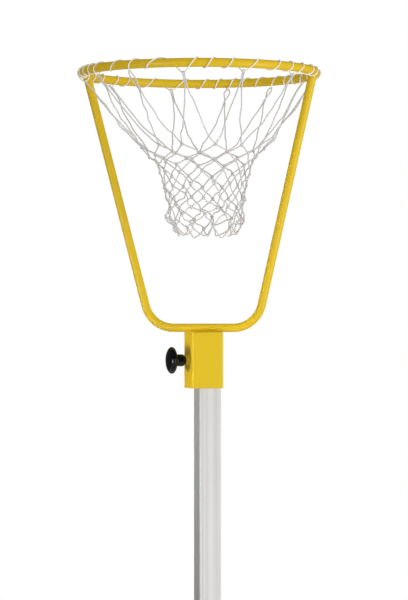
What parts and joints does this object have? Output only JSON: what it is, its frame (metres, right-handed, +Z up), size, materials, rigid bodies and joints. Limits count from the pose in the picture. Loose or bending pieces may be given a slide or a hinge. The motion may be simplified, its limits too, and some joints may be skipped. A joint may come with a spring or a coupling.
{
  "type": "basketball stand",
  "caption": "Free-standing goal: netted steel hoop on a bent-tube yoke, welded to a square collar that clamps on an aluminium post with a floor base.",
  "frame": {"origin": "on the floor, under the middle of the base plate and of the socket", "axes": "+Z up along the post, +X to the right and +Y away from someone who has both clamp knobs on their left; post, sleeves and base plate are square to X and Y"},
  "size_m": [0.6, 0.6, 2.1156],
  "materials": {
    "yellow_paint": "semi-gloss enamel",
    "bare_aluminium": "mill-finish extrusion",
    "black_plastic": "glossy moulding",
    "zinc_steel": "zinc plated",
    "pad_nylon": "natural nylon",
    "net_cord": "twisted white cord",
    "foot_rubber": "matt rubber"
  },
  "bodies": {
    "base": {"base_plate": "yellow_paint", "base_socket": "yellow_paint", "base_nut": "yellow_paint", "gusset_left": "yellow_paint", "gusset_right": "yellow_paint", "gusset_front": "yellow_paint", "gusset_back": "yellow_paint", "foot_1": "foot_rubber", "foot_2": "foot_rubber", "foot_3": "foot_rubber", "foot_4": "foot_rubber", "foot_stud_1": "zinc_steel", "foot_stud_2": "zinc_steel", "foot_stud_3": "zinc_steel", "foot_stud_4": "zinc_steel", "foot_nut_1": "zinc_steel", "foot_nut_2": "zinc_steel", "foot_nut_3": "zinc_steel", "foot_nut_4": "zinc_steel"},
    "base_clamp_feed": {"base_pad": "pad_nylon"},
    "base_clamp_screw": {"base_knob": "black_plastic", "base_stud": "zinc_steel"},
    "post": {"post": "bare_aluminium", "post_top_plug": "black_plastic", "post_foot_plug": "black_plastic"},
    "head": {"hoop": "yellow_paint", "yoke": "yellow_paint", "collar": "yellow_paint", "collar_cap": "yellow_paint", "clamp_nut": "yellow_paint", "net": "net_cord", "net_lacing": "net_cord"},
    "clamp_feed": {"clamp_pad": "pad_nylon"},
    "clamp_screw": {"clamp_knob": "black_plastic", "clamp_stud": "zinc_steel"}
  },
  "joints": [
    {"name": "post_lift", "type": "slide", "parent": "base", "child": "post", "axis": [0, 0, 1], "range_m": [0, 0.2]},
    {"name": "head_lift", "type": "slide", "parent": "post", "child": "head", "axis": [0, 0, 1], "range_m": [0, 0.12]},
    {"name": "clamp_feed", "type": "slide", "parent": "head", "child": "clamp_feed", "axis": [-1, 0, 0], "range_m": [0, 0.006]},
    {"name": "clamp_turn", "type": "hinge", "parent": "clamp_feed", "child": "clamp_screw", "pos_m": [-0.0325, 0, 1.5265], "axis": [-1, 0, 0], "range_deg": [0, 1440]},
    {"name": "base_clamp_feed", "type": "slide", "parent": "base", "child": "base_clamp_feed", "axis": [-1, 0, 0], "range_m": [0, 0.006]},
    {"name": "base_clamp_turn", "type": "hinge", "parent": "base_clamp_feed", "child": "base_clamp_screw", "pos_m": [-0.0325, 0, 0.1406], "axis": [-1, 0, 0], "range_deg": [0, 1440]}
  ],
  "couplings": [
    {"joint": "clamp_feed", "follows": "clamp_turn", "m_per_rad": 0.0002387},
    {"joint": "base_clamp_feed", "follows": "base_clamp_turn", "m_per_rad": 0.0002387}
  ]
}
